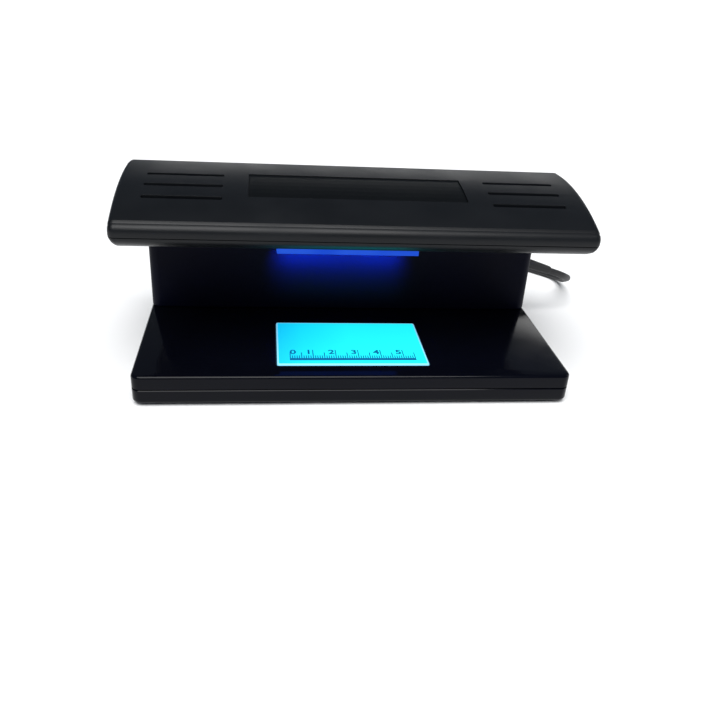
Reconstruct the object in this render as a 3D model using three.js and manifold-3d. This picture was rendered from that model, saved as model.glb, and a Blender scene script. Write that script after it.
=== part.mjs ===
// Counterfeit bill detector: a C-shaped ultraviolet viewer for banknotes that stands on a counter.
// Units are millimetres, +Z is up, the front faces -Y, and the origin is on the floor under its middle.
import * as THREE from 'three';
import { mergeVertices } from 'three/addons/utils/BufferGeometryUtils.js';
import Module from 'manifold-3d';

const wasm = await Module();
wasm.setup();

// ---------- Driving dimensions ----------
// Inside the group, y runs back from the front edge of the base and z up from the underside of the base.
const GAP = 0.3;
const FOOT_HEIGHT = 1.5;
const BASE = { width: 185, depth: 112, height: 12.5, seam: 6, corner: 4, wall: 2.2 };
const PLATE = { width: 65.3, depth: 41, thickness: 1.2, front: 9.8, centreX: -0.8, proud: 0.3 };
const COLUMN = { halfWidth: 92.2, front: 68, top: 45.8, edgeRadius: 4.5, wall: 2.2 };
const REAR = { foot: 111.4, shoulder: 95, shoulderHeight: 61.5, crown: 71.5, crownHeight: 77.3 };
const REAR_FLANGE = 14;
const HEAD = { halfWidth: 97.6, lipFront: 10, lipBottom: 62.4, lipBack: 13.8, wall: 2.2 };
const HOOD = { radius: 127.1, centreY: 60.9, centreZ: -44.6, seamDrop: 4.4, wall: 2, back: 70 };
const VENT = { rows: [48, 37.6, 27.8], inner: 55.3, outer: 86.8, slot: 2 };
const LABEL = { halfWidth: 45.2, front: 29.4, back: 50.6, recess: 0.9, thickness: 0.3 };
const LENS = { centreX: -3.5, halfWidth: 30, front: 30, back: 54, drop: 3, wall: 1.5 };
const LAMP = { y: 42, z: 66.6, radius: 7.75, half: 67, cap: 8 };
const LAMP_PIN = { reach: 6.6, offset: 2.4, radius: 1.2 };
const HOLDER = { inner: 75.6, outer: 84, halfDepth: 8, bottom: 59.2, top: 75.4 };
const SWITCH = { centreX: 15, along: 13, length: 21, width: 15, bezel: 2, bodyDepth: 12, tilt: 12 };
const CORD = { diameter: 3.6, exitY: 99.5, exitZ: 28.3, slope: 16.7, bootLength: 22 };
const COIL = { x: 55, y: 154, columns: 4, layers: 2, meanRadius: 20, lift: 1 };
const PLUG = { x: 14, y: 172, z: 5.4, length: 34, width: 35, thickness: 13.4, pinPitch: 18.6, pinLength: 19 };
const FLOOR = -FOOT_HEIGHT;

// ---------- Materials ----------
const surface = (color, roughness, metalness = 0) => (
  new THREE.MeshStandardMaterial({ color, roughness, metalness })
);
const satinBlack = surface(0x1b1d20, 0.55);
const glossBlack = surface(0x0c0d10, 0.18);
const darkLabel = surface(0x0a0b0c, 0.35);
const scalePlate = surface(0x9fefff, 0.4);
const rubber = surface(0x16161a, 0.85);
const lampGlass = surface(0x5a58c8, 0.15);
const lensViolet = surface(0x3a5cff, 0.25);
const whitePlastic = surface(0xe8e6df, 0.5);
const aluminium = surface(0xc9ccd0, 0.35, 1);
const steel = surface(0x9a9da1, 0.35, 1);
const brass = surface(0xb08d4c, 0.35, 1);
const boardGreen = surface(0x1f5a34, 0.5);
const copper = surface(0xa8622f, 0.45, 0.6);
const leadWhite = surface(0xd8d8d4, 0.6);
const leadBlue = surface(0x2d4f9e, 0.6);
const capacitorSleeve = surface(0x2a2440, 0.4);

// ---------- Helpers ----------
const model = new THREE.Group();
model.position.set(0, -BASE.depth / 2, FOOT_HEIGHT);

function toSolid(geometry) {
  const bare = geometry.clone();
  bare.deleteAttribute('normal');
  bare.deleteAttribute('uv');
  const merged = mergeVertices(bare, 1e-4);
  return new wasm.Manifold(new wasm.Mesh({
    numProp: 3,
    vertProperties: new Float32Array(merged.attributes.position.array),
    triVerts: new Uint32Array(merged.index.array),
  }));
}

function toGeometry(solid) {
  const data = solid.getMesh();
  const geometry = new THREE.BufferGeometry();
  geometry.setAttribute('position', new THREE.BufferAttribute(data.vertProperties, 3));
  geometry.setIndex(new THREE.BufferAttribute(data.triVerts, 1));
  geometry.computeVertexNormals();
  return geometry;
}

function addPiece(name, shape, material) {
  const geometry = shape.isBufferGeometry ? shape : toGeometry(shape);
  const mesh = new THREE.Mesh(geometry, material);
  mesh.name = name;
  model.add(mesh);
  return mesh;
}

const outline = (points) => new THREE.Shape(points.map(([x, y]) => new THREE.Vector2(x, y)));

// A plan outline (x, y) raised from z0 to z1.
function slab(shape, z0, z1, curveSegments = 5) {
  const geometry = new THREE.ExtrudeGeometry(shape, { depth: z1 - z0, bevelEnabled: false, curveSegments });
  return geometry.translate(0, 0, z0);
}

// A side outline (y, z) carried across from x0 to x1.
function prism(points, x0, x1) {
  const geometry = new THREE.ExtrudeGeometry(outline(points), { depth: x1 - x0, bevelEnabled: false });
  const turn = new THREE.Matrix4().makeBasis(
    new THREE.Vector3(0, 1, 0), new THREE.Vector3(0, 0, 1), new THREE.Vector3(1, 0, 0),
  );
  return geometry.applyMatrix4(turn).translate(x0, 0, 0);
}

function block(x0, x1, y0, y1, z0, z1) {
  const geometry = new THREE.BoxGeometry(x1 - x0, y1 - y0, z1 - z0);
  return geometry.translate((x0 + x1) / 2, (y0 + y1) / 2, (z0 + z1) / 2);
}

function rod(radius, z0, z1, x, y, segments = 16) {
  const geometry = new THREE.CylinderGeometry(radius, radius, z1 - z0, segments);
  return geometry.rotateX(Math.PI / 2).translate(x, y, (z0 + z1) / 2);
}

function rodAlongX(radius, x0, x1, y, z, segments = 24) {
  const geometry = new THREE.CylinderGeometry(radius, radius, x1 - x0, segments);
  return geometry.rotateZ(Math.PI / 2).translate((x0 + x1) / 2, y, z);
}

const asSolid = (shape) => (shape.isBufferGeometry ? toSolid(shape) : shape);
const join = (...shapes) => shapes.map(asSolid).reduce((sum, next) => sum.add(next));
const cut = (shape, ...tools) => (
  tools.map(asSolid).reduce((left, tool) => left.subtract(tool), asSolid(shape))
);

function roundedRectangle(x0, x1, y0, y1, radius) {
  const shape = new THREE.Shape();
  shape.absarc(x1 - radius, y0 + radius, radius, -Math.PI / 2, 0);
  shape.absarc(x1 - radius, y1 - radius, radius, 0, Math.PI / 2);
  shape.absarc(x0 + radius, y1 - radius, radius, Math.PI / 2, Math.PI);
  shape.absarc(x0 + radius, y0 + radius, radius, Math.PI, 1.5 * Math.PI);
  return shape;
}

// ---------- Side outlines ----------
const hoodHeight = (y, drop = 0) => (
  HOOD.centreZ + Math.sqrt((HOOD.radius - drop) ** 2 - (y - HOOD.centreY) ** 2)
);
const undersideSlope = (HEAD.lipBottom - COLUMN.top - GAP) / (COLUMN.front - HEAD.lipBack);
const undersideHeight = (y) => HEAD.lipBottom - undersideSlope * (y - HEAD.lipBack);
const rearSlope = (REAR.foot - REAR.shoulder) / (REAR.shoulderHeight - BASE.height);
const rearAt = (z) => REAR.foot - rearSlope * (z - BASE.height);

function hoodArc(yStart, yEnd, drop, steps) {
  const points = [];
  for (let i = 0; i <= steps; i += 1) {
    const y = yStart + (yEnd - yStart) * i / steps;
    points.push([y, hoodHeight(y, drop)]);
  }
  return points;
}

// The rear face of column and head: a leaning wall and a sloping facet, moved inwards by `inset`.
function rearLine(zStart, inset) {
  const wallLength = Math.hypot(1, rearSlope);
  const facetRun = REAR.shoulder - REAR.crown;
  const facetRise = REAR.crownHeight - REAR.shoulderHeight;
  const facetLength = Math.hypot(facetRun, facetRise);
  const wallShift = inset * wallLength;
  const facetShift = inset * facetLength / facetRun;
  const facetSlope = facetRise / facetRun;
  const lift = (wallShift * facetSlope - facetShift) / (1 - rearSlope * facetSlope);
  const shoulderZ = REAR.shoulderHeight + lift;
  return [
    [rearAt(zStart) - wallShift, zStart],
    [rearAt(shoulderZ) - wallShift, shoulderZ],
    [REAR.crown, REAR.crownHeight - facetShift],
  ];
}

// ---------- Base ----------
const screwSpots = [[-60, 20], [60, 20], [-60, 96], [60, 96]];
const footSpots = [[-80, 13], [80, 13], [-80, 99], [80, 99]];

function makeBase() {
  const half = BASE.width / 2;
  const { wall, depth, seam, height, corner } = BASE;
  const inner = roundedRectangle(-half + wall, half - wall, wall, depth - wall, corner - wall);
  const outer = roundedRectangle(-half, half, 0, depth, corner);

  let tray = cut(slab(outer, 0, seam), slab(inner, wall, seam + 1));
  let bed = cut(slab(outer, seam + GAP, height), slab(inner, seam - 1, height - wall));
  const plateX0 = PLATE.centreX - PLATE.width / 2 - GAP;
  const plateX1 = PLATE.centreX + PLATE.width / 2 + GAP;
  const pocketFloor = height - PLATE.thickness + PLATE.proud - GAP;
  const plateY1 = PLATE.front + PLATE.depth + GAP;
  bed = cut(bed, block(plateX0, plateX1, PLATE.front - GAP, plateY1, pocketFloor, 20));
  bed = cut(bed, block(-50, 50, 78, 98, height - wall - 1, height + 1));
  for (const [x, y] of screwSpots) {
    tray = join(tray, rod(4.5, 1, 4, x, y));
    tray = cut(tray, rod(1.8, -1, 5, x, y), rod(3.4, -1, 1.8, x, y));
    bed = join(bed, rod(3.5, 4.3, height - wall + 0.5, x, y));
    bed = cut(bed, rod(1.8, 4, 9.4, x, y));
  }
  for (const [x, y] of footSpots) tray = cut(tray, rod(5.5, -1, 0.7, x, y));
  addPiece('base_tray', tray, glossBlack);
  addPiece('bed_shell', bed, glossBlack);
  footSpots.forEach(([x, y], i) => {
    addPiece(`foot_${i + 1}`, rod(5, FLOOR, 0.4, x, y), rubber);
  });
}

function makeRulerPlate() {
  const x0 = PLATE.centreX - PLATE.width / 2;
  const top = BASE.height + PLATE.proud;
  const shape = roundedRectangle(x0, x0 + PLATE.width, PLATE.front, PLATE.front + PLATE.depth, 1);
  addPiece('ruler_plate', slab(shape, top - PLATE.thickness, top, 3), scalePlate);
}

// ---------- Rear fixings and switch position ----------
const rearScrewSpots = [[-78, 36], [78, 36]];

// Turns a shape whose +Z points out of the leaning rear wall and puts it at (x, z) on that wall.
function alongRear(shape, x, z) {
  const lean = Math.atan(rearSlope);
  return shape.rotateX(-Math.PI / 2 + lean).translate(x, rearAt(z), z);
}

const facetAngle = Math.atan2(REAR.crownHeight - REAR.shoulderHeight, REAR.shoulder - REAR.crown);
const switchCentre = new THREE.Vector3(
  SWITCH.centreX,
  REAR.crown + SWITCH.along * Math.cos(facetAngle),
  REAR.crownHeight - SWITCH.along * Math.sin(facetAngle),
);

// Turns a shape whose +Z points out of the rear facet and puts it at the switch.
function switchPlace(shape) {
  const { x, y, z } = switchCentre;
  return shape.rotateX(-facetAngle).translate(x, y, z);
}

// ---------- Column ----------
function makeColumn() {
  const { halfWidth, front, top, edgeRadius, wall } = COLUMN;
  const bottom = BASE.height + GAP;
  const outer = roundedRectangle(-halfWidth, halfWidth, front, 140, edgeRadius);
  const inner = roundedRectangle(-halfWidth + wall, halfWidth - wall, front + wall, 150, edgeRadius - wall);
  const behind = [
    [rearAt(0) - REAR_FLANGE - GAP, 0], [160, 0], [160, 90], [rearAt(90) - REAR_FLANGE - GAP, 90],
  ];
  let shell = cut(slab(outer, bottom, top), slab(inner, 0, top + 1), prism(behind, -100, 100));
  for (const x of [-14, 54]) {
    const post = new THREE.CylinderGeometry(3, 3, 4, 12).translate(x, front + wall + 1, 28);
    const pilot = new THREE.CylinderGeometry(1.3, 1.3, 6, 12).translate(x, front + wall + 3.2, 28);
    shell = cut(join(shell, post), pilot);
  }
  const inFront = block(-100, 100, -50, front + wall - 1, -20, 100);
  for (const [x, z] of rearScrewSpots) {
    const post = cut(alongRear(rod(3.6, -42, -3, 0, 0), x, z), inFront);
    shell = cut(join(shell, post), alongRear(rod(1.8, -14, -2, 0, 0), x, z));
  }
  addPiece('column_shell', shell, glossBlack);
}

function makeRearCover() {
  const { halfWidth, top, wall } = COLUMN;
  const bottom = BASE.height + GAP;
  const upperHalf = HEAD.halfWidth - HEAD.wall - GAP;
  const outside = rearLine(bottom, 0);
  const inside = rearLine(bottom, wall);
  const band = [...outside, ...inside.reverse()];
  const lowerBand = cut(prism(band, -halfWidth, halfWidth), block(-100, 100, 0, 160, top, 120));
  const upperBand = cut(prism(band, -upperHalf, upperHalf), block(-100, 100, 0, 160, 0, top));
  const flange = [
    [rearAt(bottom), bottom], [rearAt(top), top],
    [rearAt(top) - REAR_FLANGE, top], [rearAt(bottom) - REAR_FLANGE, bottom],
  ];
  let cover = join(lowerBand, upperBand);
  for (const x0 of [-halfWidth, halfWidth - wall]) cover = join(cover, prism(flange, x0, x0 + wall));
  cover = cut(cover, rodAlongX(3.5, 80, 100, CORD.exitY, CORD.exitZ, 16));
  cover = cut(cover, switchPlace(block(-9.9, 9.9, -6.7, 6.7, -30, 5)));
  for (const [x, z] of rearScrewSpots) {
    cover = cut(cover, alongRear(rod(2.4, -5, 5, 0, 0), x, z), alongRear(rod(3.3, -1.3, 5, 0, 0), x, z));
  }
  addPiece('rear_cover', cover, satinBlack);
}

// ---------- Head ----------
function makeHeadShell() {
  const { halfWidth, lipFront, lipBottom, lipBack, wall } = HEAD;
  const seam = HOOD.seamDrop + GAP;
  const floorZ = COLUMN.top + GAP;
  const lip = [
    [lipFront + 0.1, hoodHeight(lipFront, seam)], [lipFront + 0.4, lipBottom + 2.8],
    [lipFront + 1.5, lipBottom + 1], [lipBack, lipBottom],
  ];
  const side = [
    ...lip, [COLUMN.front, floorZ], ...rearLine(floorZ, 0), ...hoodArc(HOOD.back, lipFront + 2, seam, 12),
  ];
  const cavity = [
    [lipFront + wall, 95], [lipFront + wall, lipBottom + 3], [lipBack + 1.4, undersideHeight(lipBack) + 2.2],
    [COLUMN.front, floorZ + wall], [150, floorZ + wall], [150, 95],
  ];
  const coverRoom = [...rearLine(floorZ - 5, wall + GAP), [90, 95], [150, 95], [150, floorZ - 5]];
  const inner = halfWidth - wall;
  const solid = prism(side, -halfWidth, halfWidth);
  let shell = cut(solid, prism(cavity, -inner, inner), prism(coverRoom, -inner, inner));
  shell = cut(shell, block(-89.7, 89.7, COLUMN.front + 2.4, 150, floorZ - 5, floorZ + 5));
  const x0 = LENS.centreX - LENS.halfWidth - GAP;
  const x1 = LENS.centreX + LENS.halfWidth + GAP;
  shell = cut(shell, block(x0, x1, LENS.front - GAP, LENS.back + GAP, 40, 70));
  addPiece('head_lower_shell', shell, satinBlack);
}

function makeHood() {
  const { wall, seamDrop, back } = HOOD;
  const front = HEAD.lipFront;
  const lip = [
    [front, hoodHeight(front, seamDrop)], [front - 0.3, 69], [front + 0.4, 71.2],
    [front + 2.6, hoodHeight(front + 2.6)],
  ];
  const rear = [[back - 0.4, hoodHeight(back) - 0.4], [back, hoodHeight(back) - 1.5]];
  const skin = [
    ...lip, ...hoodArc(front + 4, back - 1.5, 0, 14), ...rear, ...hoodArc(back, front + 2, seamDrop, 12),
  ];
  const hollow = [
    [front + wall, 50], [front + wall, 69.8],
    ...hoodArc(front + 4.5, back - wall, wall, 12), [back - wall, 50],
  ];
  const inner = HEAD.halfWidth - wall;
  let hood = cut(prism(skin, -HEAD.halfWidth, HEAD.halfWidth), prism(hollow, -inner, inner));
  for (const y of VENT.rows) {
    for (const side of [-1, 1]) {
      const x0 = Math.min(side * VENT.inner, side * VENT.outer);
      const x1 = x0 + VENT.outer - VENT.inner;
      hood = cut(hood, block(x0, x1, y - VENT.slot / 2, y + VENT.slot / 2, 60, 100));
    }
  }
  const { halfWidth, front: labelFront, back: labelBack, recess, thickness } = LABEL;
  const recessBand = [
    ...hoodArc(labelFront, labelBack, recess, 6), [labelBack, 100], [labelFront, 100],
  ];
  hood = cut(hood, prism(recessBand, -halfWidth, halfWidth));
  addPiece('hood_cover', hood, satinBlack);
  const label = [
    ...hoodArc(labelFront + GAP, labelBack - GAP, recess - GAP, 6),
    ...hoodArc(labelBack - GAP, labelFront + GAP, recess - GAP - thickness, 6),
  ];
  addPiece('label_plate', prism(label, -halfWidth + GAP, halfWidth - GAP), darkLabel);
}

// ---------- Lamp ----------
function makeLens() {
  const { centreX, halfWidth, front, back, drop, wall } = LENS;
  const sheet = (y0, y1, low, high) => [
    [y0, undersideHeight(y0) + low], [y1, undersideHeight(y1) + low],
    [y1, undersideHeight(y1) + high], [y0, undersideHeight(y0) + high],
  ];
  const body = prism(sheet(front, back, -drop, 3), centreX - halfWidth, centreX + halfWidth);
  const flangeLow = HEAD.wall + 2 * GAP;
  const rim = 3;
  const flangeSheet = sheet(front - rim, back + rim, flangeLow, flangeLow + 1);
  const flange = prism(flangeSheet, centreX - halfWidth - rim, centreX + halfWidth + rim);
  const hollow = prism(
    sheet(front + wall, back - wall, wall - drop, 9), centreX - halfWidth + wall, centreX + halfWidth - wall,
  );
  addPiece('window_lens', cut(join(body, flange), hollow), lensViolet);
}

function makeLamp() {
  const { y, z, radius, half, cap } = LAMP;
  const pinEnd = half + cap + LAMP_PIN.reach;
  addPiece('uv_lamp_tube', rodAlongX(radius, -half, half, y, z, 28), lampGlass);
  for (const [name, side] of [['left', -1], ['right', 1]]) {
    const span = (from, to) => (side > 0 ? [from, to] : [-to, -from]);
    const shell = rodAlongX(radius - 0.2, ...span(half + GAP, half + cap), y, z, 24);
    const pins = [-LAMP_PIN.offset, LAMP_PIN.offset].map((offset) => (
      rodAlongX(LAMP_PIN.radius, ...span(half + cap - 1, pinEnd), y + offset, z, 8)
    ));
    addPiece(`lamp_cap_${name}`, join(shell, ...pins), aluminium);
    const well = rodAlongX(4.3, ...span(HOLDER.inner - 1, pinEnd + 0.6), y, z, 16);
    const [a, b] = span(HOLDER.inner, HOLDER.outer);
    const [c, d] = span(HOLDER.inner - 1, pinEnd + 0.6);
    const slot = block(c, d, y - 1.7, y + 1.7, z, HOLDER.top + 1);
    const holder = block(a, b, y - HOLDER.halfDepth, y + HOLDER.halfDepth, HOLDER.bottom, HOLDER.top);
    addPiece(`lamp_holder_${name}`, cut(holder, well, slot), whitePlastic);
  }
}

function makeReflector() {
  const path = [[31.2, 62.5], [33.4, 72.5], [37.5, 75.8], [46.5, 75.8], [50.6, 72.5], [52.8, 62.5]];
  const outer = path.map(([y, z]) => [LAMP.y + (y - LAMP.y) * 1.07, z + (z > 70 ? 0.7 : 0)]);
  addPiece('reflector', prism([...path, ...outer.reverse()], -64, 64), aluminium);
}

// ---------- Electronics in the column ----------
function makeElectronics() {
  const face = COLUMN.front + COLUMN.wall + 3.3;
  const boardBack = face + 1.6;
  let board = block(-20, 60, face, boardBack, 16, 40);
  for (const x of [-14, 54]) {
    const hole = new THREE.CylinderGeometry(1.8, 1.8, 6, 12).translate(x, face, 28);
    board = cut(board, hole);
    const screw = join(
      new THREE.CylinderGeometry(2.9, 2.9, 1.6, 12).translate(x, boardBack + GAP + 0.8, 28),
      new THREE.CylinderGeometry(1, 1, 5, 10).translate(x, boardBack - 1.7, 28),
    );
    addPiece(`board_screw_${x < 0 ? 1 : 2}`, screw, steel);
  }
  addPiece('ballast_board', board, boardGreen);
  const partFace = boardBack + GAP;
  addPiece('ballast_transformer', block(2, 20, partFace, partFace + 13, 20, 36), copper);
  const can = new THREE.CylinderGeometry(5, 5, 16, 16).translate(34, partFace + 8, 28);
  addPiece('ballast_capacitor', can, capacitorSleeve);
  addPiece('terminal_block', block(62, 82, 84, 93, 13.4, 22), whitePlastic);
}

// A round lead along a smooth line through the given points.
function lead(points, diameter, sides, steps) {
  const curve = new THREE.CatmullRomCurve3(points.map((p) => new THREE.Vector3(...p)));
  const section = new THREE.Shape();
  section.absarc(0, 0, diameter / 2, 0, 2 * Math.PI);
  return new THREE.ExtrudeGeometry(section, { steps, extrudePath: curve, curveSegments: sides / 2 });
}

function makeLeads() {
  const holderOut = HOLDER.outer + GAP;
  for (const side of [-1, 1]) {
    const points = [
      [side * (holderOut + 0.3), 44, 63], [side * 88, 46, 63], [side * 88.6, 60, 60],
      [side * 84, 76, 54], [side * 70, 80, 44], [side > 0 ? 62.5 : -22.5, 80, 36],
    ];
    addPiece(`lamp_lead_${side < 0 ? 'left' : 'right'}`, lead(points, 2, 8, 18), leadWhite);
  }
  const fromSwitch = [
    [19, 71.8, 52.6], [20, 73.6, 49], [26, 77, 43], [44, 84, 37], [64, 88, 31], [70, 88.5, 22.6],
  ];
  addPiece('switch_lead', lead(fromSwitch, 2, 8, 16), leadBlue);
}

// ---------- Rocker switch ----------
function makeSwitch() {
  const { length, width, bezel, bodyDepth, tilt } = SWITCH;
  const rim = block(-length / 2, length / 2, -width / 2, width / 2, GAP, bezel);
  const body = block(-9.6, 9.6, -6.4, 6.4, -bodyDepth, GAP + 0.5);
  const well = block(-9, 9, -5.7, 5.7, -7, bezel + 1);
  addPiece('switch_housing', switchPlace(toGeometry(cut(join(rim, body), well))), satinBlack);
  [-4, 4].forEach((x, i) => {
    const blade = block(x - 0.4, x + 0.4, -2.4, 2.4, -bodyDepth - 7, -bodyDepth - GAP);
    addPiece(`switch_terminal_${i + 1}`, switchPlace(blade), brass);
  });
  const key = [[-7.2, -2.4], [7.2, -2.4], [8, 0], [8.2, 2.6], [0, 1.9], [-8.2, 2.6], [-8, 0]];
  const rocker = new THREE.ExtrudeGeometry(outline(key), { depth: 10.6, bevelEnabled: false });
  rocker.translate(0, 0, -5.3).rotateX(Math.PI / 2).rotateY(THREE.MathUtils.degToRad(tilt));
  addPiece('switch_rocker', switchPlace(rocker), glossBlack);
}

// ---------- Screws ----------
function screwSolid(length) {
  const profile = [[0, 0], [2.9, 0], [2.9, 0.9], [1.4, 1.6], [1.4, length], [0, length + 1.2]];
  const turned = new THREE.LatheGeometry(profile.map(([x, y]) => new THREE.Vector2(x, y)), 14);
  const upright = toSolid(turned.rotateX(Math.PI / 2));
  return cut(upright, block(-1.8, 1.8, -0.3, 0.3, -1, 0.7), block(-0.3, 0.3, -1.8, 1.8, -1, 0.7));
}

function makeScrews() {
  screwSpots.forEach(([x, y], i) => {
    addPiece(`base_screw_${i + 1}`, toGeometry(screwSolid(7)).translate(x, y, 0.05), steel);
  });
  rearScrewSpots.forEach(([x, z], i) => {
    const screw = toGeometry(screwSolid(9)).rotateX(Math.PI).translate(0, 0, -0.1);
    addPiece(`rear_screw_${i + 1}`, alongRear(screw, x, z), steel);
  });
}

// ---------- Mains lead ----------
const slopeAngle = THREE.MathUtils.degToRad(CORD.slope);
const bootEnd = new THREE.Vector3(
  COLUMN.halfWidth + GAP + CORD.bootLength * Math.cos(slopeAngle),
  CORD.exitY,
  CORD.exitZ - CORD.bootLength * Math.sin(slopeAngle),
);

function makeStrainRelief() {
  const { exitY, exitZ, bootLength } = CORD;
  const outside = COLUMN.halfWidth;
  const inside = outside - COLUMN.wall;
  const collar = rodAlongX(4, inside - 2.3, inside - GAP, exitY, exitZ, 16);
  const neck = rodAlongX(2.9, inside - 1, outside + 1.5, exitY, exitZ, 16);
  const boot = new THREE.CylinderGeometry(2.1, 2.9, bootLength, 16);
  boot.rotateZ(-Math.PI / 2).translate(bootLength / 2, 0, 0).rotateY(slopeAngle);
  boot.translate(outside + 1.3, exitY, exitZ);
  const shoulder = rodAlongX(4, outside + GAP, outside + 1.8, exitY, exitZ, 16);
  addPiece('strain_relief', join(collar, neck, boot, shoulder), rubber);
}

const cordRoute = [
  [114.7, 99.5, 21.6], [119, 100, 20.2], [123.5, 101.6, 18.2], [127, 104.8, 16], [130, 109.5, 13.7],
  [132.5, 115.6, 11], [134.8, 122, 8.2], [136.6, 128, 5.6], [137.6, 134, 3.1], [137.4, 140, 1.5],
  [135.5, 145.5, 0.6], [132, 150, 0.4], [126, 156, 0.4], [119, 162.8, 0.4], [111, 169.4, 0.4],
  [102, 174.8, 0.4], [92, 178, 0.5], [80, 179.3, 0.8], [69.4, 179.4, 1.2],
];
const tailRoute = [
  [40.6, 179.4, 4.9], [34, 178.8, 5.1], [27, 176.4, 5.3], [20.5, 173.4, 5.4], [14.5, 172, 5.4],
];

function makeCord() {
  const { diameter } = CORD;
  const { x, y, columns, layers, meanRadius, lift } = COIL;
  addPiece('power_cord', lead(cordRoute, diameter, 8, 40), rubber);
  addPiece('cord_tail', lead(tailRoute, diameter, 8, 6), rubber);
  const halfBand = columns * diameter / 2 + 0.1;
  const bottom = FLOOR + lift;
  const top = bottom + layers * diameter;
  const [inside, outside] = [meanRadius - halfBand, meanRadius + halfBand];
  const section = [[inside, bottom], [outside, bottom], [outside, top], [inside, top], [inside, bottom]];
  const ring = new THREE.LatheGeometry(section.map(([r, z]) => new THREE.Vector2(r, z)), 36);
  addPiece('cord_coil', ring.rotateX(Math.PI / 2).translate(x, y, 0), rubber);
  const strap = block(x - 2.5, x + 2.5, y - outside - 1, y - inside + 1, FLOOR, top + 1);
  const opening = block(x - 4, x + 4, y - outside - GAP, y - inside + GAP, bottom - GAP, top + GAP);
  addPiece('cord_tie', cut(strap, opening), rubber);
}

function makePlug() {
  const { x, y, z, length, width, thickness, pinPitch, pinLength } = PLUG;
  const plan = outline([
    [x, y - 4], [x, y + 4], [x - 12, y + 7.5], [x - length + 7, y + width / 2 - 3],
    [x - length, y + width / 2], [x - length, y - width / 2],
    [x - length + 7, y - width / 2 + 3], [x - 12, y - 7.5],
  ]);
  addPiece('plug_body', slab(plan, z - thickness / 2, z + thickness / 2), rubber);
  [-1, 1].forEach((side, i) => {
    const reach = x - length - GAP;
    const pin = rodAlongX(2, reach - pinLength, reach, y + side * pinPitch / 2, z, 12);
    addPiece(`plug_pin_${i + 1}`, pin, brass);
  });
}

makeBase();
makeRulerPlate();
makeColumn();
makeRearCover();
makeHeadShell();
makeHood();
makeLens();
makeLamp();
makeReflector();
makeElectronics();
makeLeads();
makeSwitch();
makeScrews();
makeStrainRelief();
makeCord();
makePlug();

const detector = new THREE.Group();
detector.add(model);
export default detector;
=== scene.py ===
"""Looks of the counterfeit bill detector: a glossy black base and column under a satin lamp hood.

Lengths are in millimetres until they reach the mesh. Local points are (x, d, h): d runs back from the
front edge of the base and h up from its underside. `place` turns them into the frame's metres.
"""
import math

import bmesh
import bpy
from mathutils import Matrix, Vector


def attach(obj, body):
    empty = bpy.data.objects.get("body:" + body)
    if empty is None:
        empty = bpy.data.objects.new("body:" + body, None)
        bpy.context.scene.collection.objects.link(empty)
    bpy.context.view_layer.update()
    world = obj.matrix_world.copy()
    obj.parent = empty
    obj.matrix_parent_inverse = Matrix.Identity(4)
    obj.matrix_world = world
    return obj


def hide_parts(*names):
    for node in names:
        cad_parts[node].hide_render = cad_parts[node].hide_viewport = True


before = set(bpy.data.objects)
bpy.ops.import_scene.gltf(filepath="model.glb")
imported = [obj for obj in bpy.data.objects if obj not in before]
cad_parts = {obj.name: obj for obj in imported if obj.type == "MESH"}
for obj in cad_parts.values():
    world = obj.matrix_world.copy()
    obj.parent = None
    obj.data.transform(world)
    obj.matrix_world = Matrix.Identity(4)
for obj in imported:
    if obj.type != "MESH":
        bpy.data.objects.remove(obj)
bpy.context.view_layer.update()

MM = 0.001
BASE = {"half": 92.5, "depth": 112.0, "height": 12.5, "seam": 6.0, "corner": 4.0, "wall": 2.2}
PLATE = {"x0": -33.45, "x1": 31.85, "front": 9.8, "back": 50.8, "top": 12.8, "thick": 1.2}
COLUMN = {"half": 92.2, "front": 68.0, "bottom": 12.8, "top": 45.8, "corner": 4.5, "wall": 2.2}
HEAD = {"half": 97.6, "lip_front": 10.0, "lip_bottom": 62.4, "lip_back": 13.8, "floor": 46.1,
        "wall": 2.2}
HOOD = {"radius": 127.1, "centre_d": 60.9, "centre_h": -44.6, "seam": 4.4, "wall": 2.0, "back": 70.0}
VENT = {"rows": (48.0, 37.6, 27.8), "inner": 55.3, "outer": 86.8, "slot": 2.3}
LABEL = {"half": 45.2, "front": 29.4, "back": 50.6, "recess": 0.9}
REAR = {"foot": 111.4, "shoulder": 95.0, "shoulder_h": 61.5, "crown": 71.5, "crown_h": 77.3}
CORD_DIAMETER = 3.6
CORD_EXIT = (93.5, 99.5, 28.3)
COIL = {"x": 55.0, "d": 154.0, "radii": (25.4, 21.8, 18.2, 14.6), "low": 1.3, "high": 4.9}
SWITCH = {"x": 15.0, "d": 82.29, "h": 70.05, "angle": 33.91, "tilt": 12.0}
SCREW_SPOTS = ((-60, 20), (60, 20), (-60, 96), (60, 96))
DUCT = (-50.0, 50.0, 78.0, 98.0)
WELL = (-89.7, 89.7, 70.4, 150.0)
WINDOW = (-33.8, 26.8, 29.7, 54.3)
ROOM = {"low": 41.1, "bend": 61.0, "wall": 2.7, "front": 70.2}
SEAL = {"clearance": 2.4, "wall": 1.1, "front": 12.5, "back": 67.6, "over": 3.0, "under": 6.5}
SCALE = {"zero": -27.8, "unit": 9.9, "low": 13.7, "line": 15.6, "stroke": 0.2, "numerals": 19.4}
PLUG = {"d": 172.0, "h": 5.4}
BOOT = {"slope": 16.7, "length": 22.0}
COLUMN_REAR_GAP = 14.3
GAP = 0.3
SEAM_EDGE = 0.25
SMALLEST_CORNER = 0.2
ABOVE = 95.0
BEYOND = 150.0
FLOOR_REACH = 30.0


def place(x, d, h):
    return Vector((x, d - 56.0, h + 1.5)) * MM


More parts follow.
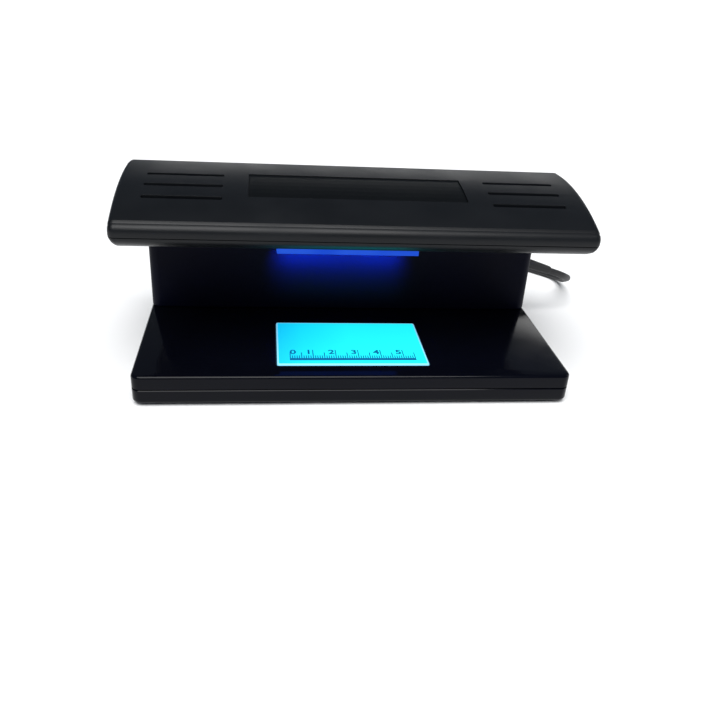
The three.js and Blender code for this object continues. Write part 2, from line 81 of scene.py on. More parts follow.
# ---------------------------------------------------------------- materials
def shader(name, color, roughness, metallic=0.0, **sockets):
    material = bpy.data.materials.new(name)
    material.use_nodes = True
    bsdf = material.node_tree.nodes["Principled BSDF"]
    bsdf.inputs["Base Color"].default_value = (*color, 1.0)
    bsdf.inputs["Roughness"].default_value = roughness
    bsdf.inputs["Metallic"].default_value = metallic
    for label, value in sockets.items():
        bsdf.inputs[label.replace("_", " ")].default_value = value
    return material


def texture(material, kind, scale, **settings):
    """A texture in the object's own coordinates, in metres."""
    nodes, links = material.node_tree.nodes, material.node_tree.links
    coordinates = nodes.new("ShaderNodeTexCoord")
    node = nodes.new(kind)
    node.inputs["Scale"].default_value = scale
    for label, value in settings.items():
        node.inputs[label].default_value = value
    links.new(coordinates.outputs["Object"], node.inputs["Vector"])
    return node


def ramp(material, source, stops):
    nodes, links = material.node_tree.nodes, material.node_tree.links
    node = nodes.new("ShaderNodeValToRGB")
    elements = node.color_ramp.elements
    for element, (position, value) in zip(elements, (stops[0], stops[-1])):
        element.position, element.color = position, value
    for position, value in stops[1:-1]:
        elements.new(position).color = value
    links.new(source, node.inputs["Fac"])
    return node


def grey(value):
    return (value, value, value, 1.0)


def rough_between(material, source, low, high):
    node = ramp(material, source, [(0.35, grey(low)), (0.65, grey(high))])
    bsdf = material.node_tree.nodes["Principled BSDF"]
    material.node_tree.links.new(node.outputs["Color"], bsdf.inputs["Roughness"])


def color_between(material, source, low, high, start=0.3, stop=0.7):
    node = ramp(material, source, [(start, (*low, 1.0)), (stop, (*high, 1.0))])
    bsdf = material.node_tree.nodes["Principled BSDF"]
    material.node_tree.links.new(node.outputs["Color"], bsdf.inputs["Base Color"])
    return node


def bump(material, source, height, strength=1.0):
    nodes, links = material.node_tree.nodes, material.node_tree.links
    node = nodes.new("ShaderNodeBump")
    node.inputs["Distance"].default_value = height * MM
    node.inputs["Strength"].default_value = strength
    links.new(source, node.inputs["Height"])
    links.new(node.outputs["Normal"], nodes["Principled BSDF"].inputs["Normal"])


def moulded(name, color, low, high, grain, height, **sockets):
    """Moulded plastic: a fine spark-eroded grain, uneven sheen and slightly uneven colour."""
    material = shader(name, color, (low + high) / 2, **sockets)
    fine = texture(material, "ShaderNodeTexNoise", grain, Detail=3.0)
    broad = texture(material, "ShaderNodeTexNoise", 38.0, Detail=2.0)
    rough_between(material, broad.outputs["Fac"], low, high)
    color_between(material, broad.outputs["Fac"], color, [c * 1.35 for c in color])
    bump(material, fine.outputs["Fac"], height)
    return material


def metal(name, color, low, high, **sockets):
    material = shader(name, color, (low + high) / 2, 1.0, **sockets)
    scratches = texture(material, "ShaderNodeTexNoise", 900.0, Detail=4.0, Distortion=1.5)
    rough_between(material, scratches.outputs["Fac"], low, high)
    bump(material, scratches.outputs["Fac"], 0.01)
    return material


satin = moulded("satin_black_plastic", (0.0026, 0.0033, 0.0046), 0.38, 0.47, 2600.0, 0.035,
               Specular_IOR_Level=0.25)
gloss = moulded("gloss_black_plastic", (0.0013, 0.0016, 0.0036), 0.07, 0.12, 420.0, 0.002,
               Specular_IOR_Level=0.13)
# Black column plastic with a blue tint in its colour: the tint is painted glow of the lamp's blue light on
# the wall, even where light_lamp does not reach.
column_plastic_painted_glow = moulded("column_plastic_painted_blue_glow", (0.0006, 0.0012, 0.008), 0.45, 0.52, 500.0, 0.003,
                    Specular_IOR_Level=0.08)
label_black = moulded("label_film", (0.0012, 0.0016, 0.002), 0.3, 0.4, 1800.0, 0.01, Specular_IOR_Level=0.15)
rubber = moulded("rubber", (0.011, 0.011, 0.012), 0.5, 0.65, 3000.0, 0.04)
white_plastic = moulded("white_plastic", (0.72, 0.71, 0.66), 0.4, 0.5, 1500.0, 0.01)
board_green = moulded("circuit_board", (0.01, 0.11, 0.035), 0.35, 0.5, 900.0, 0.02)
lead_white = moulded("white_lead", (0.7, 0.7, 0.68), 0.45, 0.6, 1500.0, 0.01)
lead_blue = moulded("blue_lead", (0.02, 0.07, 0.3), 0.45, 0.6, 1500.0, 0.01)
capacitor = moulded("capacitor_sleeve", (0.03, 0.02, 0.08), 0.25, 0.35, 900.0, 0.01)
steel = metal("screw_steel", (0.5, 0.51, 0.53), 0.28, 0.42)
aluminium = metal("aluminium", (0.78, 0.79, 0.8), 0.25, 0.4)
brass = metal("plated_brass", (0.66, 0.5, 0.26), 0.22, 0.34)
copper = metal("copper_winding", (0.62, 0.27, 0.12), 0.3, 0.45)


def make_lens_material():
    material = shader("lit_lens", (0.002, 0.02, 0.3), 0.35, Specular_IOR_Level=0.1)
    bsdf = material.node_tree.nodes["Principled BSDF"]
    noise = texture(material, "ShaderNodeTexNoise", 60.0, Detail=1.0)
    glow = ramp(material, noise.outputs["Fac"], [
        (0.3, (0.006, 0.085, 0.72, 1.0)), (0.7, (0.024, 0.14, 0.84, 1.0)),
    ])
    material.node_tree.links.new(glow.outputs["Color"], bsdf.inputs["Emission Color"])
    bsdf.inputs["Emission Strength"].default_value = 0.65
    return material


def make_tube_material():
    material = shader("lit_tube", (0.02, 0.02, 0.2), 0.15)
    bsdf = material.node_tree.nodes["Principled BSDF"]
    noise = texture(material, "ShaderNodeTexNoise", 25.0)
    glow = ramp(material, noise.outputs["Fac"], [
        (0.3, (0.03, 0.05, 0.8, 1.0)), (0.7, (0.12, 0.16, 1.0, 1.0)),
    ])
    material.node_tree.links.new(glow.outputs["Color"], bsdf.inputs["Emission Color"])
    bsdf.inputs["Emission Strength"].default_value = 0.8
    return material


def make_plate_material():
    """Fluorescing film: cyan, bluer towards its left edge."""
    material = shader("fluorescent_film", (0.01, 0.3, 0.34), 0.35)
    nodes, links = material.node_tree.nodes, material.node_tree.links
    bsdf = nodes["Principled BSDF"]
    coordinates = nodes.new("ShaderNodeTexCoord")
    split = nodes.new("ShaderNodeSeparateXYZ")
    links.new(coordinates.outputs["Object"], split.inputs["Vector"])
    across = nodes.new("ShaderNodeMapRange")
    across.inputs["From Min"].default_value = PLATE["x0"] * MM
    across.inputs["From Max"].default_value = PLATE["x1"] * MM
    links.new(split.outputs["X"], across.inputs["Value"])
    glow = ramp(material, across.outputs["Result"], [
        (0.0, (0.004, 0.46, 0.8, 1.0)), (0.18, (0.006, 0.64, 0.86, 1.0)), (0.5, (0.012, 0.82, 0.86, 1.0)),
        (1.0, (0.014, 0.84, 0.86, 1.0)),
    ])
    links.new(glow.outputs["Color"], bsdf.inputs["Emission Color"])
    bsdf.inputs["Emission Strength"].default_value = 1.0
    noise = texture(material, "ShaderNodeTexNoise", 900.0)
    bump(material, noise.outputs["Fac"], 0.004)
    return material


lit_lens = make_lens_material()
lit_tube = make_tube_material()
plate_film = make_plate_material()
plate_edge = shader("film_edge", (0.2, 0.45, 0.6), 0.4,
                    Emission_Color=(0.22, 0.68, 0.95, 1.0), Emission_Strength=0.7)
# The printed scale's blue base colour is the ink's own. Its emission is painted glow that lights the marks
# the way the lamp's light would.
ink_painted_glow = shader("scale_ink_painted_glow", (0.0, 0.05, 0.12), 0.5, Emission_Color=(0.0, 0.12, 0.3, 1.0), Emission_Strength=0.8)


# ---------------------------------------------------------------- mesh helpers
def show(name, mesh, material, body, slot, *nodes, sharp=32.0):
    """Adds a mesh as a piece that rides on a body and stands for the CAD nodes named."""
    mesh.shade_smooth()
    mesh.set_sharp_from_angle(angle=math.radians(sharp))
    obj = bpy.data.objects.new(name, mesh)
    bpy.context.collection.objects.link(obj)
    if material:
        obj.data.materials.clear()
        obj.data.materials.append(material)
    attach(obj, body)
    if nodes:
        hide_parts(*nodes)
    return obj


def mesh_from(name, verts, faces):
    bm = bmesh.new()
    made = [bm.verts.new(v) for v in verts]
    for face in faces:
        bm.faces.new([made[i] for i in face])
    bmesh.ops.recalc_face_normals(bm, faces=bm.faces)
    mesh = bpy.data.meshes.new(name)
    bm.to_mesh(mesh)
    bm.free()
    return mesh


def skin(name, rings):
    """A closed body through rings of equal point counts, with a flat face at each end."""
    count = len(rings[0])
    verts = [v for ring in rings for v in ring]
    faces = [list(range(count)), [len(verts) - count + i for i in range(count)]]
    for r in range(len(rings) - 1):
        for i in range(count):
            a, b = r * count + i, r * count + (i + 1) % count
            faces.append([a, b, b + count, a + count])
    return mesh_from(name, verts, faces)


def profile_body(name, points, half, radius=0.0, steps=5):
    """Carries a side profile across from -half to +half.

    Each point is (d, h, inward_d, inward_h); near both ends it moves inwards to round the edge.
    """
    stations = [(half, 0.0)]
    if radius:
        stations = []
        for i in range(steps + 1):
            turn = math.pi / 2 * i / steps
            stations.append((half - radius * (1 - math.cos(turn)), radius * (1 - math.sin(turn))))
    across = [(-x, inset) for x, inset in stations] + [(x, inset) for x, inset in reversed(stations)]
    rings = [[place(x, d + inset * nd, h + inset * nh) for d, h, nd, nh in points] for x, inset in across]
    return skin(name, rings)


def rounded_outline(x0, x1, d0, d1, radius, steps=8):
    corners = ((x1, d0, -1, 1, -90), (x1, d1, -1, -1, 0), (x0, d1, 1, -1, 90), (x0, d0, 1, 1, 180))
    points = []
    for cx, cd, sx, sd, start in corners:
        for i in range(steps + 1):
            turn = math.radians(start + 90 * i / steps)
            points.append((cx + sx * radius + radius * math.cos(turn),
                           cd + sd * radius + radius * math.sin(turn)))
    return points


def pad(name, box, corner, levels, steps=8):
    """A rounded plan outline stacked through (height, inset) levels."""
    x0, x1, d0, d1 = box
    rings = []
    for h, inset in levels:
        radius = max(corner - inset, SMALLEST_CORNER)
        outline = rounded_outline(x0 + inset, x1 - inset, d0 + inset, d1 - inset, radius, steps)
        rings.append([place(x, d, h) for x, d in outline])
    return skin(name, rings)


def softened(low, high, radius, steps=4, both=True):
    """Levels of a slab whose top edge, and bottom edge if asked, is rounded."""
    turns = [math.pi / 2 * i / steps for i in range(steps + 1)]
    arc = [(radius * (1 - math.cos(turn)), radius * (1 - math.sin(turn))) for turn in turns]
    bottom = [(low + rise, inset) for rise, inset in arc] if both else [(low, 0.0)]
    return bottom + [(high - rise, inset) for rise, inset in reversed(arc)]


def evaluated(obj):
    graph = bpy.context.evaluated_depsgraph_get()
    return bpy.data.meshes.new_from_object(obj.evaluated_get(graph))


def carve(mesh, *cutters):
    """Takes the cutter meshes away from a mesh."""
    body = bpy.data.objects.new("carved", mesh)
    bpy.context.collection.objects.link(body)
    tools = []
    for cutter in cutters:
        tool = bpy.data.objects.new("cutter", cutter)
        bpy.context.collection.objects.link(tool)
        modifier = body.modifiers.new("cut", "BOOLEAN")
        modifier.operation, modifier.solver, modifier.object = "DIFFERENCE", "EXACT", tool
        tools.append(tool)
    result = evaluated(body)
    for obj in (body, *tools):
        bpy.data.objects.remove(obj)
    return result


def bevel(obj, width, segments=2, angle=40.0):
    modifier = obj.modifiers.new("edges", "BEVEL")
    modifier.width = width * MM
    modifier.segments = segments
    modifier.limit_method = "ANGLE"
    modifier.angle_limit = math.radians(angle)
    return obj


def dress(material, *nodes, edge=0.2):
    """Gives CAD nodes that stay a finished material and softened edges."""
    for node in nodes:
        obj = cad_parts[node]
        obj.data.materials.clear()
        obj.data.materials.append(material)
        if edge:
            bevel(obj, edge)


# ---------------------------------------------------------------- profiles
def hood_height(d, drop=0.0):
    return HOOD["centre_h"] + math.sqrt((HOOD["radius"] - drop) ** 2 - (d - HOOD["centre_d"]) ** 2)


def hood_arc(start, stop, drop, steps, weight=0.0):
    points = []
    for i in range(steps + 1):
        d = start + (stop - start) * i / steps
        h = hood_height(d, drop)
        inward = Vector((HOOD["centre_d"] - d, HOOD["centre_h"] - h)).normalized() * weight
        points.append((d, h, inward.x, inward.y))
    return points


def rear_at(h):
    slope = (REAR["foot"] - REAR["shoulder"]) / (REAR["shoulder_h"] - BASE["height"])
    return REAR["foot"] - slope * (h - BASE["height"])


def underside(d):
    slope = (HEAD["lip_bottom"] - HEAD["floor"]) / (COLUMN["front"] - HEAD["lip_back"])
    return HEAD["lip_bottom"] - slope * (d - HEAD["lip_back"])


# ---------------------------------------------------------------- camera, light and floor
def make_camera():
    yaw, pitch, roll = math.radians(8.124), math.radians(28.116), math.radians(3.827)
    level = Vector((math.cos(yaw), -math.sin(yaw), 0.0))
    forward = Vector((math.sin(yaw) * math.cos(pitch), math.cos(yaw) * math.cos(pitch), -math.sin(pitch)))
    lift = level.cross(forward)
    right = level * math.cos(roll) + lift * math.sin(roll)
    up = lift * math.cos(roll) - level * math.sin(roll)
    camera = bpy.data.objects.new("camera", bpy.data.cameras.new("camera"))
    camera.data.sensor_width = 36.0
    camera.data.lens = 37.487
    camera.data.clip_start = 0.01
    turn = Matrix((right, up, -forward)).transposed()
    camera.matrix_world = Matrix.Translation((-0.0382, -0.3239, 0.1664)) @ turn.to_4x4()
    bpy.context.collection.objects.link(camera)
    bpy.context.scene.camera = camera


def area_light(name, location, target, size, power, color=(1.0, 1.0, 1.0), spread=180.0):
    light = bpy.data.lights.new(name, "AREA")
    light.spread = math.radians(spread)
    light.shape = "RECTANGLE"
    light.size, light.size_y = size
    light.energy = power
    light.color = color
    obj = bpy.data.objects.new(name, light)
    obj.location = location
    obj.rotation_euler = (Vector(target) - Vector(location)).to_track_quat("-Z", "Y").to_euler()
    bpy.context.collection.objects.link(obj)
    return obj


def make_studio():
    make_camera()
    sun = bpy.data.lights.new("light_sun", "SUN")
    sun.energy = 3.9
    sun.angle = math.radians(50.0)
    obj = bpy.data.objects.new("light_sun", sun)
    obj.rotation_euler = Vector((0.1, 0.45, -0.9)).to_track_quat("-Z", "Y").to_euler()
    bpy.context.collection.objects.link(obj)
    area_light("light_back", (0.2, 0.8, 0.25), (0.0, 0.0, 0.05), (1.0, 0.12), 0.75, (1.0, 0.99, 0.97))
    lamp = area_light("light_lamp", place(-3.5, 58.0, 47.4), place(-3.5, 68.0, 38.5), (0.058, 0.003), 0.068,
                      (0.01, 0.16, 1.0), 60.0)
    lamp.visible_glossy = False
    area_light("light_right", (0.95, 0.1, 0.35), (0.0, 0.0, 0.05), (0.4, 0.4), 0.8, (1.0, 0.97, 0.93))
    world = bpy.data.worlds.new("studio")
    bpy.context.scene.world = world
    world.use_nodes = True
    world.node_tree.nodes["Background"].inputs["Color"].default_value = (0.72, 0.84, 1.0, 1.0)
    world.node_tree.nodes["Background"].inputs["Strength"].default_value = 0.14
    bpy.context.scene.view_settings.view_transform = "Standard"
    floor_material = shader("floor_paper", (0.93, 0.93, 0.93), 0.9)
    grain = texture(floor_material, "ShaderNodeTexNoise", 300.0, Detail=3.0)
    bump(floor_material, grain.outputs["Fac"], 0.02)
    spots = ((-1, -1), (1, -1), (1, 1), (-1, 1))
    corners = [Vector((x * FLOOR_REACH, y * FLOOR_REACH, 0.0)) for x, y in spots]
    floor = bpy.data.objects.new("floor", mesh_from("floor", corners, [[0, 1, 2, 3]]))
    floor.data.materials.append(floor_material)
    bpy.context.collection.objects.link(floor)


# ---------------------------------------------------------------- mains lead
CORD_ROUTE = [
    (113.4, 99.5, 22.0), (119, 100, 20.2), (123.5, 101.6, 18.2), (127, 104.8, 16.0), (130, 109.5, 13.7),
    (132.5, 115.6, 11.0), (134.8, 122, 8.2), (136.6, 128, 5.6), (137.6, 134, 3.1), (137.4, 140, 1.5),
    (135.5, 145.5, 0.6), (132, 150, 0.4), (126, 156, 0.4), (119, 162.8, 0.4), (111, 169.4, 0.4),
    (102, 174.8, 0.4), (92, 178, 0.5), (80, 179.3, 0.8), (69.4, 179.4, 1.2), (60, 179.4, 1.3),
]
TAIL_ROUTE = [
    (47, 179.4, 4.9), (40.6, 179.4, 4.9), (34, 178.8, 5.1), (27, 176.4, 5.3), (20.5, 173.4, 5.4),
    (14.2, 172, 5.4),
]
TURN_POINTS = 36
STEP_OVER = 8


def coil_points():
    """Four turns inwards on the counter, then four outwards on top of them."""
    plan = list(COIL["radii"]) + list(reversed(COIL["radii"]))
    heights = [COIL["low"]] * 4 + [COIL["high"]] * 4
    points = []
    for n, (radius, height) in enumerate(zip(plan, heights)):
        for i in range(TURN_POINTS):
            blend = max(0.0, (i - TURN_POINTS + STEP_OVER) / STEP_OVER) if n < len(plan) - 1 else 0.0
            ease = blend * blend * (3 - 2 * blend)
            r = radius + (plan[min(n + 1, 7)] - radius) * ease
            h = height + (heights[min(n + 1, 7)] - height) * ease
            turn = math.pi / 2 + 2 * math.pi * i / TURN_POINTS
            points.append((COIL["x"] + r * math.cos(turn), COIL["d"] + r * math.sin(turn), h))
    points.append((COIL["x"], COIL["d"] + plan[-1], heights[-1]))
    return points


def smoothed(points, steps=4):
    """A Catmull-Rom line through the points."""
    padded = [points[0], *points, points[-1]]
    line = []
    for a, b, c, d in zip(padded, padded[1:], padded[2:], padded[3:]):
        a, b, c, d = (Vector(p) for p in (a, b, c, d))
        for i in range(steps):
            t = i / steps
            line.append(0.5 * (2 * b + (c - a) * t + (2 * a - 5 * b + 4 * c - d) * t * t
                               + (3 * b - a - 3 * c + d) * t ** 3))
    line.append(Vector(points[-1]))
    return line


def make_cord():
    line = smoothed(CORD_ROUTE)[:-1] + [Vector(p) for p in coil_points()] + smoothed(TAIL_ROUTE)
    curve = bpy.data.curves.new("mains_lead", "CURVE")
    curve.dimensions = "3D"
    curve.bevel_depth = CORD_DIAMETER / 2 * MM
    curve.bevel_resolution = 4
    curve.use_fill_caps = True
    spline = curve.splines.new("POLY")
    spline.points.add(len(line) - 1)
    for point, spot in zip(spline.points, line):
        point.co = (*place(*spot), 1.0)
    spline.use_smooth = True
    lead = bpy.data.objects.new("mains_lead", curve)
    bpy.context.collection.objects.link(lead)
    curve.materials.append(rubber)
    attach(lead, "housing")
    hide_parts("power_cord", "cord_coil", "cord_tail")
    length = sum((b - a).length for a, b in zip(line, line[1:])) * MM
    return lead, length


def turned(name, profile, start, axis, segments=28):
    """A body of revolution: profile is (distance along the axis, radius)."""
    axis = Vector(axis).normalized()
    side = axis.orthogonal().normalized()
    other = axis.cross(side)
    rings = []
    for along, radius in profile:
        centre = Vector(start) + axis * along
        rings.append([place(*(centre + (side * math.cos(a) + other * math.sin(a)) * radius))
                      for a in (2 * math.pi * i / segments for i in range(segments))])
    return skin(name, rings)


def make_boot():
    """The smooth tapered boot where the lead leaves the right cheek."""
    slope, length = math.radians(BOOT["slope"]), BOOT["length"]
    profile = [(-4.2, 2.7), (-0.9, 2.8), (-0.6, 3.7), (-0.2, 3.95), (0.4, 3.95), (0.8, 3.6), (1.3, 2.95)]
    profile += [(i, 2.9 - 0.8 * i / length) for i in range(2, 21, 2)]
    profile += [(21.2, 2.1), (21.8, 1.98), (22.1, 1.82)]
    axis = (math.cos(slope), 0.0, -math.sin(slope))
    mesh = turned("cord_boot", profile, CORD_EXIT, axis)
    return show("cord_boot", mesh, rubber, "housing", "rubber", "strain_relief", sharp=50.0)


def make_plug():
    """A flat two-pin plug, waisted towards its lead."""
    stations = [
        (14.0, 2.6, 2.6), (13.6, 3.6, 3.6), (9.0, 4.6, 4.6), (3.0, 6.6, 5.8), (-4.0, 9.6, 6.4),
        (-11.0, 13.4, 6.6), (-15.0, 16.2, 6.7), (-17.0, 17.2, 6.7), (-19.0, 17.4, 6.6),
        (-19.8, 16.9, 6.2), (-20.0, 16.2, 5.6),
    ]
    segments, power = 40, 2.0 / 3.2
    rings = []
    for x, wide, thick in stations:
        ring = []
        for i in range(segments):
            turn = 2 * math.pi * i / segments
            c, s = math.cos(turn), math.sin(turn)
            ring.append(place(x, PLUG["d"] + math.copysign(abs(c) ** power, c) * wide,
                              PLUG["h"] + math.copysign(abs(s) ** power, s) * thick))
        rings.append(ring)
    return show("plug_shell", skin("plug_shell", rings), rubber, "housing", "rubber", "plug_body", sharp=60.0)


# ---------------------------------------------------------------- base
def make_base():
    half, depth, corner = BASE["half"], BASE["depth"], BASE["corner"]
    full = (-half, half, 0.0, depth)
    inner = (-half + BASE["wall"], half - BASE["wall"], BASE["wall"], depth - BASE["wall"])
    bed = pad("bed", full, corner, [(BASE["seam"] + GAP, SEAM_EDGE), (BASE["seam"] + GAP + SEAM_EDGE, 0.0),
                                    *softened(8.0, BASE["height"], 1.3, both=False)[1:]])
    pocket = pad("pocket", (PLATE["x0"] - GAP, PLATE["x1"] + GAP, PLATE["front"] - GAP, PLATE["back"] + GAP),
                 1.2, [(11.3, 0.0), (14.0, 0.0)], 4)
    under = pad("under", inner, corner - BASE["wall"], [(3.0, 0.0), (BASE["height"] - BASE["wall"], 0.0)])
    duct = pad("duct", DUCT, 2.0, [(8.0, 0.0), (14.0, 0.0)], 4)
    bed = show("bed", carve(bed, pocket, under, duct), gloss, "housing", "gloss_black", "bed_shell")
    tray = pad("tray", full, corner, [*softened(0.0, 5.0, 1.2)[:5], (BASE["seam"] - SEAM_EDGE, 0.0),
                                      (BASE["seam"], SEAM_EDGE)])
    room = pad("room", inner, corner - BASE["wall"], [(BASE["wall"], 0.0), (9.0, 0.0)])
    holes = []
    for x, d in SCREW_SPOTS:
        holes.append(turned("hole", [(-1.0, 3.4), (1.8, 3.4)], (x, d, 0.0), (0, 0, 1), 24))
    tray = show("tray", carve(tray, room, *holes), gloss, "housing", "gloss_black", "base_tray")
    for obj in (bed, tray):
        bevel(obj, 0.15, 2, 60.0)
    dress(rubber, "foot_1", "foot_2", "foot_3", "foot_4", edge=0.4)
    dress(steel, *(f"base_screw_{i}" for i in range(1, 5)), edge=0)


def make_ruler_plate():
    box = (PLATE["x0"], PLATE["x1"], PLATE["front"], PLATE["back"])
    low, top = PLATE["top"] - PLATE["thick"], PLATE["top"]
    plate = pad("plate", box, 1.0, [(low, 0.0), (top - 0.25, 0.0), (top - 0.05, 0.12), (top - 0.02, 0.2)], 5)
    show("plate", plate, plate_edge, "housing", "scale_plate", "ruler_plate")
    border = 0.7
    film_box = (box[0] + border, box[1] - border, box[2] + border * 1.5, box[3] - border)
    film = pad("film", film_box, 0.6, [(top - 0.1, 0.0), (top + 0.01, 0.0), (top + 0.03, 0.03)], 4)
    show("film", film, plate_film, "housing", "scale_plate")


def make_scale_print():
    """Printed centimetre scale with half and millimetre marks and numerals."""
    bm = bmesh.new()
    height = PLATE["top"] + 0.05
    zero, unit, stroke = SCALE["zero"], SCALE["unit"], SCALE["stroke"]

    def mark(x0, x1, d0, d1):
        bm.faces.new([bm.verts.new(place(x, d, height)) for x, d in ((x0, d0), (x1, d0), (x1, d1), (x0, d1))])

    mark(zero - stroke, zero + unit * 5.5 + stroke, SCALE["low"], SCALE["line"])
    for i in range(56):
        x = zero + unit * i / 10
        reach = 23.2 if i % 10 == 0 and i else 20.8 if i % 5 == 0 else 18.0
        mark(x - stroke, x + stroke, SCALE["line"], reach)
    for number in range(6):
        text = bpy.data.curves.new("numeral", "FONT")
        text.body = str(number)
        text.size = 5.4
        text.offset = 0.14
        text.align_x = "RIGHT"
        holder = bpy.data.objects.new("numeral", text)
        bpy.context.collection.objects.link(holder)
        glyph = evaluated(holder)
        shift = (zero + unit * number - (0.5 if number else -2.6), SCALE["numerals"], height)
        glyph.transform(Matrix.Translation(shift))
        for vertex in glyph.vertices:
            vertex.co = place(*vertex.co)
        bm.from_mesh(glyph)
        bpy.data.objects.remove(holder)
    mesh = bpy.data.meshes.new("scale_print")
    bm.to_mesh(mesh)
    bm.free()
    show("scale_print", mesh, ink_painted_glow, "housing", "scale_plate")


# ---------------------------------------------------------------- column
def make_column():
    half, front, wall = COLUMN["half"], COLUMN["front"], COLUMN["wall"]
    bottom, top = COLUMN["bottom"], COLUMN["top"]
    outer = pad("column", (-half, half, front, 140.0), COLUMN["corner"], [(bottom, 0.0), (top, 0.0)], 14)
    inner = pad("hollow", (-half + wall, half - wall, front + wall, 150.0), COLUMN["corner"] - wall,
                [(0.0, 0.0), (60.0, 0.0)], 10)
    cut = [(rear_at(0) - COLUMN_REAR_GAP, 0.0), (170.0, 0.0), (170.0, 90.0),
           (rear_at(90) - COLUMN_REAR_GAP, 90.0)]
    behind = profile_body("behind", [(d, h, 0.0, 0.0) for d, h in cut], 100.0)
    column = show("column", carve(outer, inner, behind), column_plastic_painted_glow, "housing", "gloss_black", "column_shell")
    bevel(column, 0.3, 2, 50.0)


# ---------------------------------------------------------------- head
def make_hood():
    front, seam = HEAD["lip_front"], HOOD["seam"]
    lip = [
        (front, hood_height(front, seam), 1.0, 0.0), (9.8, 67.7, 1.0, 0.0), (9.7, 68.8, 1.0, 0.0),
        (9.9, 70.0, 0.98, -0.2), (10.4, 71.0, 0.9, -0.42), (11.1, 71.8, 0.77, -0.64), (11.9, 72.2, 0.6, -0.8),
        (12.25, 71.95, 0.5, -0.87), (12.6, 72.35, 0.4, -0.91), (13.0, hood_height(13.0), 0.38, -0.92),
    ]
    crown = hood_arc(14.0, 69.0, 0.0, 44, 1.0)
    rear = [(69.6, hood_height(69.6) - 0.35, -0.7, -0.7), (70.0, hood_height(70.0) - 1.2, -1.0, 0.0)]
    bottom = hood_arc(HOOD["back"], front + 2, seam, 24)
    solid = profile_body("hood", lip + crown + rear + bottom, HEAD["half"], 2.6)
    wall = HOOD["wall"]
    hollow = [(front + wall, 50.0, 0, 0), (front + wall, 69.8, 0, 0),
              *hood_arc(front + 4.5, HOOD["back"] - wall, wall, 20), (HOOD["back"] - wall, 50.0, 0, 0)]
    cutters = [profile_body("hollow", hollow, HEAD["half"] - wall)]
    for d in VENT["rows"]:
        for x0 in (-VENT["outer"], VENT["inner"]):
            box = (x0, x0 + VENT["outer"] - VENT["inner"], d - VENT["slot"] / 2, d + VENT["slot"] / 2)
            cutters.append(pad("vent", box, 0.9, [(60.0, 0.0), (90.0, 0.0)], 5))
    low, high = LABEL["front"], LABEL["back"]
    recess = [*hood_arc(low, high, LABEL["recess"], 10), (high, 100.0, 0, 0), (low, 100.0, 0, 0)]
    cutters.append(profile_body("recess", recess, LABEL["half"]))
    hood = show("hood", carve(solid, *cutters), satin, "housing", "satin_black", "hood_cover", sharp=28.0)
    bevel(hood, 0.22, 2, 50.0)
    dress(label_black, "label_plate", edge=0)


def make_head_shell():
    front, seam, floor = HEAD["lip_front"], HOOD["seam"] + GAP, HEAD["floor"]
    rear_run, rear_rise = REAR["shoulder"] - REAR["crown"], REAR["crown_h"] - REAR["shoulder_h"]
    long = math.hypot(rear_run, rear_rise)
    slant = (-rear_rise / long, -rear_run / long)
    profile = [
        (front + 0.1, hood_height(front, seam), 1.1, 0.0), (10.15, 66.3, 1.2, 0.1), (10.5, 65.5, 1.3, 0.4),
        (11.1, 64.7, 1.2, 0.8), (12.0, 63.9, 1.1, 1.2), (13.2, 63.2, 0.9, 1.5), (15.0, 62.4, 0.6, 1.6),
        (17.0, underside(17.0), 0.4, 1.4), (COLUMN["front"], floor, 0.3, 0.95),
        (rear_at(floor), floor, -0.3, 0.9), (REAR["shoulder"], REAR["shoulder_h"], *slant),
        (REAR["crown"], REAR["crown_h"], *slant),
        *hood_arc(HOOD["back"], front + 2, seam, 24),
    ]
    solid = profile_body("head_shell", profile, HEAD["half"], 2.6)
    wall = HEAD["wall"]
    inner = HEAD["half"] - wall
    cavity = [(front + wall, ABOVE), (front + wall, 65.4), (15.2, underside(HEAD["lip_back"]) + wall),
              (COLUMN["front"], floor + wall), (BEYOND, floor + wall), (BEYOND, ABOVE)]
    room = [(rear_at(ROOM["low"]) - ROOM["wall"], ROOM["low"]),
            (rear_at(ROOM["bend"]) - ROOM["wall"], ROOM["bend"]),
            (ROOM["front"], 74.2), (ROOM["front"], ABOVE), (BEYOND, ABOVE), (BEYOND, ROOM["low"])]
    cutters = [profile_body("cavity", [(d, h, 0, 0) for d, h in cavity], inner),
               profile_body("room", [(d, h, 0, 0) for d, h in room], inner),
               pad("well", WELL, 0.5, [(41.0, 0.0), (51.1, 0.0)], 2),
               pad("window", WINDOW, 1.0, [(40.0, 0.0), (70.0, 0.0)], 4)]
    shell = show("head_shell", carve(solid, *cutters), satin, "housing", "satin_black",
                 "head_lower_shell", sharp=28.0)
    bevel(shell, 0.2, 2, 50.0)


def make_seam_seals():
    """The tongue behind the seam between hood and lower shell, and the strip under the hood's back edge."""
    inner, wall = HEAD["half"] - SEAL["clearance"], SEAL["wall"]
    front, back = SEAL["front"], SEAL["back"]
    ring = hood_arc(front, back, SEAL["over"], 20) + hood_arc(back, front, SEAL["under"], 20)
    sides = ((front + wall, 50.0), (front + wall, 99.0), (back - wall, 99.0), (back - wall, 50.0))
    bore = [(d, h, 0, 0) for d, h in sides]
    mesh = carve(profile_body("seam_tongue", ring, inner), profile_body("bore", bore, inner - wall))
    show("seam_tongue", mesh, satin, "housing", "satin_black")
    strip = [(d, h, 0, 0) for d, h in ((66.6, 76.0), (66.6, 77.1), (71.3, 76.9), (71.3, 75.9))]
    show("rear_seal", profile_body("rear_seal", strip, inner), satin, "housing", "satin_black")


# ---------------------------------------------------------------- rocker
def on_switch(x, along, out):
    """A point given on the rear facet, `along` it downwards and `out` of it."""
    angle = math.radians(SWITCH["angle"])
    return (SWITCH["x"] + x, SWITCH["d"] + along * math.cos(angle) + out * math.sin(angle),
            SWITCH["h"] - along * math.sin(angle) + out * math.cos(angle))


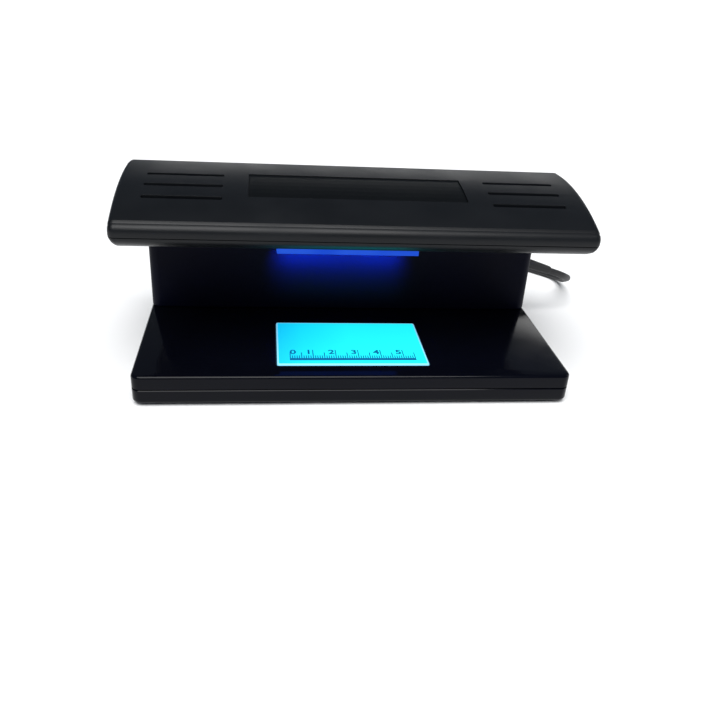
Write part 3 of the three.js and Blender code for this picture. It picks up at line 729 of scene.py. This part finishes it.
def make_rocker():
    """A dished rocker, its right end pressed in, with the generic on and off marks."""
    tilt = math.radians(SWITCH["tilt"])

    def tilted(x, along, out):
        return on_switch(x * math.cos(tilt) + out * math.sin(tilt), along,
                         out * math.cos(tilt) - x * math.sin(tilt))

    def dished(x, level):
        return level + 0.75 * abs(x / half) ** 1.8

    half, width, steps = 8.2, 5.3, 24
    section = [(-7.2, -2.4), (7.2, -2.4), (8.0, 0.0)]
    spots = [half - 2 * half * i / steps for i in range(steps + 1)]
    section += [(x, dished(x, 1.85)) for x in spots]
    section.append((-8.0, 0.0))
    stations = ((-width, 1.0), (-width + 0.35, 0.0), (width - 0.35, 0.0), (width, 1.0))
    rings = [[place(*tilted(x * (1 - inset * 0.05), y, out - inset * (0.4 if out > 0 else 0.0)))
              for x, out in section] for y, inset in stations]
    show("rocker", skin("rocker", rings), gloss, "rocker", "gloss_black", "switch_rocker", sharp=30.0)

    bm = bmesh.new()

    def stroke(points):
        bm.faces.new([bm.verts.new(place(*tilted(x, y, dished(x, 1.98)))) for x, y in points])

    stroke([(4.9, -1.9), (5.5, -1.9), (5.5, 1.9), (4.9, 1.9)])
    ring = [2 * math.pi * i / 24 for i in range(24)]
    for a, b in zip(ring, ring[1:] + ring[:1]):
        rim = ((1.9, a), (1.9, b), (1.4, b), (1.4, a))
        stroke([(-5.2 + r * math.cos(t), r * math.sin(t)) for r, t in rim])
    mesh = bpy.data.meshes.new("rocker_marks")
    bm.to_mesh(mesh)
    bm.free()
    show("rocker_marks", mesh, white_plastic, "rocker", "white_plastic")


# ---------------------------------------------------------------- build
make_studio()
lead, lead_length = make_cord()
boot = make_boot()
plug = make_plug()
make_base()
make_ruler_plate()
make_scale_print()
make_column()
make_hood()
make_head_shell()
make_seam_seals()
make_rocker()
dress(satin, "rear_cover", edge=0.3)
dress(gloss, "switch_housing", edge=0.3)
dress(lit_lens, "window_lens", edge=0.3)
dress(lit_tube, "uv_lamp_tube", edge=0.6)
dress(aluminium, "lamp_cap_left", "lamp_cap_right", "reflector", edge=0)
dress(white_plastic, "lamp_holder_left", "lamp_holder_right", "terminal_block", edge=0.3)
dress(board_green, "ballast_board", edge=0)
dress(copper, "ballast_transformer", edge=0.4)
dress(capacitor, "ballast_capacitor", edge=0.4)
dress(lead_white, "lamp_lead_left", "lamp_lead_right", edge=0)
dress(lead_blue, "switch_lead", edge=0)
dress(steel, "board_screw_1", "board_screw_2", "rear_screw_1", "rear_screw_2", edge=0)
dress(brass, "switch_terminal_1", "switch_terminal_2", edge=0)
dress(brass, "plug_pin_1", "plug_pin_2", edge=0.4)
dress(rubber, "cord_tie", edge=0.3)
